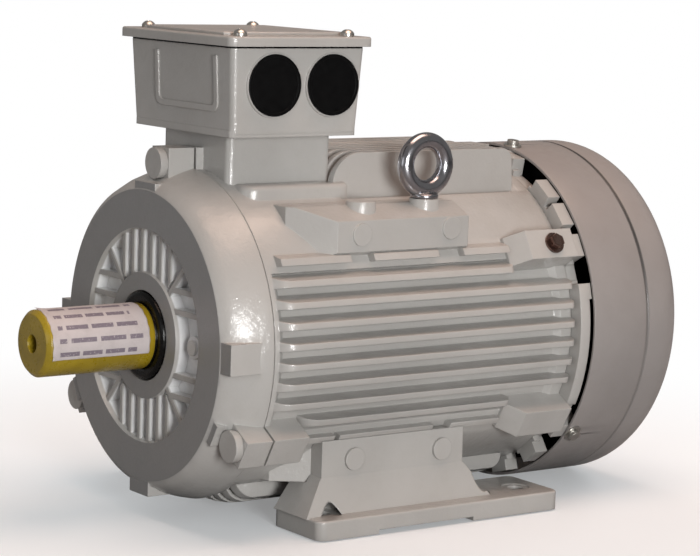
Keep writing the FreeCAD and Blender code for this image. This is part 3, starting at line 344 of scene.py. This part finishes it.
def ruled_bars(t):
    """1 inside the ruled bars that stand in for print, 0 between them."""
    pitch = 9.6             # from one bar to the next round the sleeve
    shift = 201.5           # keeps the arc positive and places the first bar
    x, y, z = t.xyz()
    arc = t.mul(t.math("ARCTAN2", z, x), LABEL_OUTER)
    row = t.math("MODULO", t.add(arc, shift), pitch)
    line = t.mul(t.ramp(row, span=(2.6, 2.9)), t.ramp(row, span=(6.2, 5.9)))
    index = t.math("FLOOR", t.math("DIVIDE", t.add(arc, shift), pitch))
    golden = 0.6180339      # gives every row its own length
    length = t.math("FRACT", t.mul(index, golden))
    word = t.add(15.0, t.mul(length, 9.0))
    dash = t.math("FRACT", t.add(t.math("DIVIDE", y, word), length))
    words = t.mul(t.ramp(dash, span=(0.0, 0.02)), t.ramp(dash, span=(0.88, 0.86)))
    start = t.ramp(y, span=(-80.0, -79.4))
    end = t.sub(1.0, t.ramp(t.sub(y, t.mul(length, 8.0)), span=(-20.6, -20.0)))
    block = t.mul(t.ramp(arc, span=(-7.0, -6.6)), t.sub(1.0, t.ramp(arc, span=(39.0, 39.4))))
    return t.mul(t.mul(t.mul(line, words), block), t.mul(start, end))


def paper(name):
    """Matt label stock with a slight pink cast, fibres and worn ruled bars."""
    t = Shader(name)
    bars = ruled_bars(t)
    fibre = t.noise(size=1 / 2.2, detail=4.0, rough=0.7, where=t.scaled((1.0, 0.35, 1.0)))
    stain = t.noise(size=15.0, detail=4.0, rough=0.6)
    colour = t.mix(t.ramp(stain, span=(0.4, 0.75)), (0.50, 0.45, 0.45), (0.42, 0.375, 0.37))
    colour = t.mix(t.ramp(fibre, span=(0.35, 0.7), to=(0.0, 0.35)), colour, (0.56, 0.52, 0.52))
    worn = t.ramp(t.noise(size=1.6, rough=0.7), span=(0.26, 0.46))
    colour = t.mix(t.mul(bars, t.mul(worn, 0.80)), colour, (0.10, 0.075, 0.115))
    return t.finish(Base_Color=colour,
                    Roughness=t.ramp(fibre, span=(0.3, 0.7), to=(0.5, 0.68)),
                    Normal=t.bump(t.add(fibre, t.mul(stain, 2.0)), depth=0.06, strength=0.6))


BODY = (0.388, 0.378, 0.364)
# material name, finish, its settings, the pieces that wear it
FINISHES = [
    ("body_enamel", enamel, dict(base=BODY),
     ["stator_frame", "nde_end_shield", "foot_right", "foot_left", "de_shield_bolts",
      "foot_bolts", "terminal_box_base", "terminal_box_lid"]),
    ("cowl_enamel", enamel, dict(base=(0.262, 0.243, 0.236), cast=0.30, coat=0.3, dirt=0.2,
                                 speck=0.03, seam_y=371.3),
     ["fan_cowl"]),
    ("zinc_steel", metal, dict(base=(0.62, 0.61, 0.58), rough=0.26, brushed=0.3, spots=0.25),
     ["nde_shield_bolts", "box_base_screws", "lid_screws", "cowl_screws", "cowl_washers",
      "plate_rivets", "terminal_nuts", "fan_circlip", "preload_spring"]),
    ("chrome_steel", metal, dict(base=(0.42, 0.42, 0.45), rough=0.13, brushed=0.12, dirt=0.5,
                                 radius=0.3),
     ["lifting_eyebolt"]),
    ("black_rubber", polymer, dict(base=(0.002, 0.002, 0.002), rough=0.24, marks=0.10,
                                   spec=0.22, lift=0.004),
     ["base_gasket", "lid_gasket", "de_shaft_seal", "nde_shaft_seal"]),
    ("black_plastic", polymer, dict(base=(0.0018, 0.0018, 0.0020), rough=0.40, grain=1.2,
                                    spec=0.12, lift=0.006),
     ["cable_entry_plugs", "cooling_fan"]),
    ("insulator", polymer, dict(base=(0.30, 0.12, 0.06), rough=0.45), ["terminal_block"]),
    ("brass", metal, dict(base=(0.72, 0.50, 0.20), rough=0.28, brushed=0.3),
     ["terminal_studs", "terminal_links", "de_bearing_cage", "nde_bearing_cage"]),
    ("copper", metal, dict(base=(0.30, 0.20, 0.17), rough=0.20, brushed=0.2, spots=0.8,
                           dirt=0.9, radius=0.3, tarnish=(0.22, 0.14, 0.12)),
     ["earth_screw", "earth_washer"]),
    ("plate_metal", metal, dict(base=(0.66, 0.66, 0.65), rough=0.34, brushed=0.8, axis=2),
     ["rating_plate"]),
    ("core_steel", laminated, dict(base=(0.30, 0.29, 0.28), pitch=1.0),
     ["stator_core", "rotor_core"]),
    ("cage_aluminium", metal, dict(base=(0.62, 0.62, 0.62), rough=0.45, brushed=0.2, spots=0.4),
     ["rotor_cage"]),
    ("machined_steel", metal, dict(base=(0.56, 0.55, 0.54), rough=0.22, brushed=0.9),
     ["shaft", "shaft_key"] + [f"{end}_bearing_{part}" for end in ("de", "nde")
                               for part in ("inner_ring", "outer_ring", "balls", "shields")]),
    ("sleeve_plastic", polymer, dict(base=(0.315, 0.222, 0.012), rough=0.30, grain=0.5,
                                     coat=0.35, mottled=0.35, marks=0.2),
     ["shaft_sleeve"]),
    ("paper", paper, {}, ["sleeve_label"]),
    ("windings", wound, {}, ["stator_windings"]),
    ("end_shield_enamel", enamel, dict(base=BODY, drive_end=True, dirt=0.14),
     ["de_end_shield"]),
]
materials = {}
for name, finish, settings, pieces in FINISHES:
    materials[name] = finish(name, **settings)
    for piece in pieces:
        slots = nodes[piece].data.materials
        slots.clear()
        slots.append(materials[name])


# ---------------------------------------------------------------- rounded edges
# bevel width: pieces
EDGE_WIDTHS = {
    0.30: ["fan_cowl"],
    0.35: ["cable_entry_plugs", "de_shield_bolts", "foot_bolts", "shaft_sleeve"],
    0.40: ["de_shaft_seal"],
    0.50: ["stator_frame"],
    0.60: ["de_end_shield", "nde_end_shield"],
    0.70: ["terminal_box_base"],
    0.80: ["terminal_box_lid"],
    0.90: ["foot_right", "foot_left"],
}


def round_edges(piece, width):
    """Welds split vertices first, so that the bevel sees joined faces."""
    weld = piece.modifiers.new("weld", "WELD")
    weld.merge_threshold = 2e-6
    bevel = piece.modifiers.new("round", "BEVEL")
    bevel.width = width * MM
    bevel.segments = 2
    bevel.limit_method = "ANGLE"
    bevel.angle_limit = math.radians(32.0)
    bevel.use_clamp_overlap = True
    bevel.harden_normals = False
    bevel.miter_outer = "MITER_ARC"


for width, pieces in EDGE_WIDTHS.items():
    for piece in pieces:
        round_edges(nodes[piece], width)


def mesh_object(name, mesh_name, bm):
    mesh = bpy.data.meshes.new(mesh_name)
    bm.to_mesh(mesh)
    bm.free()
    made = bpy.data.objects.new(name, mesh)
    scene.collection.objects.link(made)
    return made


def fit(made, rides, replaced):
    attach(made, rides)
    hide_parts(replaced)


# ---------------------------------------------------------------- forged eyebolt
SEAT_HEIGHT = 17.0              # collar seat above the lowest point of the eyebolt
EYE_HEIGHT = 24.5               # ring centre above the seat
EYE_RADIUS, EYE_SECTION = 17.8, 6.0
# shank, collar and neck: radius, height above the seat
SHANK_PROFILE = [
    (4.6, -16.6), (4.9, -16.0), (4.9, 0.6), (10.0, 0.0), (10.4, 0.7),
    (10.4, 2.7), (9.6, 3.5), (6.6, 4.4), (5.4, 6.2), (5.2, 8.0),
]


def ring_body(centre, radius, section, squash, around=96, across=32):
    """Ring in the YZ plane, its section flattened along X and thicker at the bottom."""
    points, faces = [], []
    for i in range(around):
        u = 2 * math.pi * i / around
        low = 0.5 - 0.5 * math.sin(u)
        thick = section * (1.0 + 0.10 * low)
        for j in range(across):
            v = 2 * math.pi * j / across
            reach = radius + thick * math.cos(v)
            x = thick * squash * math.sin(v)
            points.append((centre[0] + x * MM, centre[1] + reach * math.cos(u) * MM,
                           centre[2] + reach * math.sin(u) * MM))
    for i in range(around):
        here, after = i * across, (i + 1) % around * across
        for j in range(across):
            k = (j + 1) % across
            faces.append((here + j, after + j, after + k, here + k))
    return points, faces


def turned(centre, profile, around=64):
    """Solid of revolution about Z with both ends capped."""
    points, faces = [], []
    for radius, height in profile:
        for k in range(around):
            a = 2 * math.pi * k / around
            points.append((centre[0] + radius * math.cos(a) * MM,
                           centre[1] + radius * math.sin(a) * MM, centre[2] + height * MM))
    last = (len(profile) - 1) * around
    for ring in range(0, last, around):
        for k in range(around):
            a, b = ring + k, ring + (k + 1) % around
            faces.append((a, b, b + around, a + around))
    faces.append(tuple(range(around))[::-1])
    faces.append(tuple(range(last, last + around)))
    return points, faces


def forged_eyebolt():
    """Ring and shank joined into one skin, then relaxed so that the junctions blend."""
    lo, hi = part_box("lifting_eyebolt")
    seat = ((lo.x + hi.x) / 2, (lo.y + hi.y) / 2, lo.z + SEAT_HEIGHT * MM)
    eye_centre = (seat[0], seat[1], seat[2] + EYE_HEIGHT * MM)
    bm = bmesh.new()
    for points, faces in (ring_body(eye_centre, EYE_RADIUS, EYE_SECTION, squash=0.97),
                          turned(seat, SHANK_PROFILE)):
        verts = [bm.verts.new(p) for p in points]
        for face in faces:
            bm.faces.new([verts[i] for i in face])
    bmesh.ops.recalc_face_normals(bm, faces=bm.faces)
    eye = mesh_object("lifting_eyebolt_forged", "lifting_eyebolt_forged_mesh", bm)
    skin = eye.modifiers.new("skin", "REMESH")
    skin.mode = "VOXEL"
    skin.voxel_size = 0.42 * MM
    skin.use_smooth_shade = True
    relax = eye.modifiers.new("relax", "SMOOTH")
    relax.factor = 0.5
    relax.iterations = 6
    eye.data.materials.append(materials["chrome_steel"])
    return eye


fit(forged_eyebolt(), "stator", "lifting_eyebolt")


# ---------------------------------------------------------------- paper label
LABEL_Y = (-85.0, -7.0)
LABEL_ANGLES = (math.radians(-22.0), math.radians(100.0))   # from +X towards +Z
LABEL_STEPS = (96, 72)          # round the sleeve, along it
CORNER_LIFT = 1.1
# lifting corners: strength, corner u, corner v, falloff along u, falloff along v
CORNERS = [(1.0, 1, 0, 6.0, 7.0), (0.7, 0, 0, 6.0, 8.0), (0.5, 1, 1, 7.0, 7.0)]


def label_point(radius, i, j):
    """Point of the sheet; u runs round the sleeve and v along it, both from 0 to 1."""
    (a0, a1), (y0, y1), (nu, nv) = LABEL_ANGLES, LABEL_Y, LABEL_STEPS
    u, v = i / nu, j / nv
    angle = a0 + (a1 - a0) * u
    y = y0 + (y1 - y0) * v
    crease = (0.10 * max(0.0, math.sin(v * 31.0 + 2.0 * math.sin(u * 9.0)) - 0.55)
              + 0.06 * max(0.0, math.sin(u * 23.0 + v * 6.0) - 0.4))
    corner = sum(strength * max(0.0, 1.0 - math.hypot((u - cu) * fall_u, (v - cv) * fall_v))
                 for strength, cu, cv, fall_u, fall_v in CORNERS)
    r = radius + crease + CORNER_LIFT * corner * corner
    wobble = 0.25 * math.sin(u * 40.0) if j in (0, nv) else 0.0     # uneven cut ends
    return r * math.cos(angle) * MM, (y + wobble) * MM, r * math.sin(angle) * MM


def paper_label():
    """Thin closed sheet wrapped on the sleeve, creased, with three corners lifting."""
    nu, nv = LABEL_STEPS
    bm = bmesh.new()
    lower, upper = [
        [[bm.verts.new(label_point(radius, i, j)) for j in range(nv + 1)]
         for i in range(nu + 1)] for radius in (LABEL_INNER, LABEL_OUTER)]
    add = bm.faces.new
    for i in range(nu):
        for j in range(nv):
            add((upper[i][j], upper[i + 1][j], upper[i + 1][j + 1], upper[i][j + 1]))
            add((lower[i][j], lower[i][j + 1], lower[i + 1][j + 1], lower[i + 1][j]))
    for i in range(nu):
        add((lower[i][0], lower[i + 1][0], upper[i + 1][0], upper[i][0]))
        add((lower[i][nv], upper[i][nv], upper[i + 1][nv], lower[i + 1][nv]))
    for j in range(nv):
        add((lower[0][j], upper[0][j], upper[0][j + 1], lower[0][j + 1]))
        add((lower[nu][j], lower[nu][j + 1], upper[nu][j + 1], upper[nu][j]))
    bmesh.ops.recalc_face_normals(bm, faces=bm.faces)
    label = mesh_object("sleeve_paper_label", "sleeve_label_mesh", bm)
    for face in label.data.polygons:
        face.use_smooth = True
    label.data.materials.append(materials["paper"])
    return label


fit(paper_label(), "sleeve", "sleeve_label")


# ---------------------------------------------------------------- floor and world
def floor_material():
    """Pale paper that fades to white away from the motor, and bounces little light."""
    t = Shader("floor_paper")
    colour = t.mix(t.ramp(t.noise(size=400.0), span=(0.3, 0.7)),
                   (0.82, 0.88, 0.93), (0.86, 0.92, 0.97))
    sheet = t.principled(Base_Color=colour, Roughness=0.7,
                         Normal=t.bump(t.noise(size=2.0), depth=0.05, strength=0.2))
    glow = t.new("ShaderNodeEmission", {"Color": (1.0, 1.0, 1.0), "Strength": 1.0})
    offset = t.vector("SUBTRACT", t.mm, (0.0, AIM_Y, 0.0))
    away = t.ramp(t.vector("LENGTH", offset, output="Value"), span=(240.0, 700.0), to=(0.25, 1.0))
    seen = t.new("ShaderNodeLightPath").outputs["Is Camera Ray"]
    dim = t.new("ShaderNodeBsdfDiffuse", {"Color": (0.26, 0.26, 0.265)})
    base = t.new("ShaderNodeMixShader", {0: seen, 1: dim.outputs[0], 2: sheet})
    whole = t.new("ShaderNodeMixShader",
                  {0: t.mul(away, seen), 1: base.outputs[0], 2: glow.outputs[0]})
    return t.surface(whole.outputs[0])


def studio_floor():
    bm = bmesh.new()
    bmesh.ops.create_grid(bm, x_segments=8, y_segments=8, size=14.0)    # metres
    floor = mesh_object("studio_floor", "studio_floor", bm)
    floor.location = (0, 0, cad_lo.z)
    floor.data.materials.append(floor_material())
    return floor


def studio_world():
    """White to the camera, dim and warm as a light."""
    world = bpy.data.worlds.new("studio")
    scene.world = world
    world.use_nodes = True
    tree = world.node_tree
    tree.nodes.clear()
    out = add_node(tree, "ShaderNodeOutputWorld")
    seen = add_node(tree, "ShaderNodeLightPath").outputs["Is Camera Ray"]
    ambient, backdrop = [
        add_node(tree, "ShaderNodeBackground", {"Color": colour, "Strength": strength}).outputs[0]
        for colour, strength in (((1.0, 0.97, 0.94), 0.21), ((1.0, 1.0, 1.0), 1.05))]
    mixed = add_node(tree, "ShaderNodeMixShader", {0: seen, 1: ambient, 2: backdrop})
    tree.links.new(mixed.outputs[0], out.inputs["Surface"])


studio_floor()
studio_world()

# ---------------------------------------------------------------- lights
AIM = Vector((0.0, AIM_Y * MM, 0.03))       # metres
# name, azimuth, elevation, distance m, size m, watts, colour, shows in reflections
LAMPS = [
    ("key_side", 72, 6, 2.2, (0.60, 0.60), 37, (1.0, 1.0, 0.99), True),
    ("top_warm", 110, 80, 1.8, (1.4, 1.0), 18, (1.0, 0.69, 0.54), True),
    ("rear_warm", 150, 52, 2.2, (0.9, 0.9), 5.5, (1.0, 0.60, 0.44), False),
    ("front_low", 12, 10, 2.4, (0.9, 0.9), 3, (0.97, 0.985, 1.0), True),
    ("rear_fill", 186, 30, 2.4, (1.4, 1.0), 18, (1.0, 0.985, 0.97), False),
    ("far_fill", 270, 28, 2.4, (1.4, 1.0), 24, (1.0, 0.985, 0.97), False),
]


def direction(azimuth, elevation):
    """Unit vector; azimuth in degrees from -Y towards +X, elevation above the floor."""
    a, e = math.radians(azimuth), math.radians(elevation)
    return Vector((math.sin(a) * math.cos(e), -math.cos(a) * math.cos(e), math.sin(e)))


def soft_box(name, target, towards, distance, size, power, colour, glint=True):
    """Rectangular lamp that stands off from the target and looks back at it."""
    light = bpy.data.lights.new(name, "AREA")
    light.shape = "RECTANGLE"
    light.size, light.size_y = size
    light.energy = power
    light.color = colour
    lamp = bpy.data.objects.new(name, light)
    lamp.location = target + towards * distance
    lamp.rotation_mode = "QUATERNION"
    lamp.rotation_quaternion = (-towards).to_track_quat("-Z", "Y")
    lamp.visible_glossy = glint
    scene.collection.objects.link(lamp)


for name, azimuth, elevation, *rest in LAMPS:
    soft_box(name, AIM, direction(azimuth, elevation), *rest)

# ---------------------------------------------------------------- camera
AZIMUTH, ELEVATION, ROLL = 54.36, 7.91, 1.86            # degrees
ORIGIN_IN_VIEW = (-151.10, -41.52, -1781.09)            # right, up, back from the camera


def place_camera():
    """Adds the camera and returns its location in metres."""
    azimuth, roll = math.radians(AZIMUTH), math.radians(ROLL)
    back = direction(AZIMUTH, ELEVATION)
    level = Vector((math.cos(azimuth), math.sin(azimuth), 0.0))
    upright = back.cross(level)
    right = level * math.cos(roll) + upright * math.sin(roll)
    up = -level * math.sin(roll) + upright * math.cos(roll)
    along_right, along_up, along_back = ORIGIN_IN_VIEW
    place = -(right * along_right + up * along_up + back * along_back) * MM
    lens = bpy.data.cameras.new("camera")
    camera = bpy.data.objects.new("camera", lens)
    scene.collection.objects.link(camera)
    columns = [(*axis, 0) for axis in (right, up, back)] + [(*place, 1)]
    camera.matrix_world = Matrix(columns).transposed()
    lens.sensor_fit = "HORIZONTAL"
    lens.sensor_width = 36.0
    lens.lens = 126.536914
    lens.clip_start, lens.clip_end = 0.02, 60.0
    scene.camera = camera
    return place


# small lamp mirrored to the camera by an upright face square to Y, at this point (metres)
SPARKLE = Vector((0.010, 0.040, 0.120))
ray = (SPARKLE - place_camera()).normalized()
soft_box("sparkle", SPARKLE, Vector((ray.x, -ray.y, ray.z)), distance=1.3, size=(0.08, 0.08),
         power=0.05, colour=(0.93, 0.96, 1.0))

scene.view_settings.view_transform = "Standard"
scene.view_settings.look = "None"
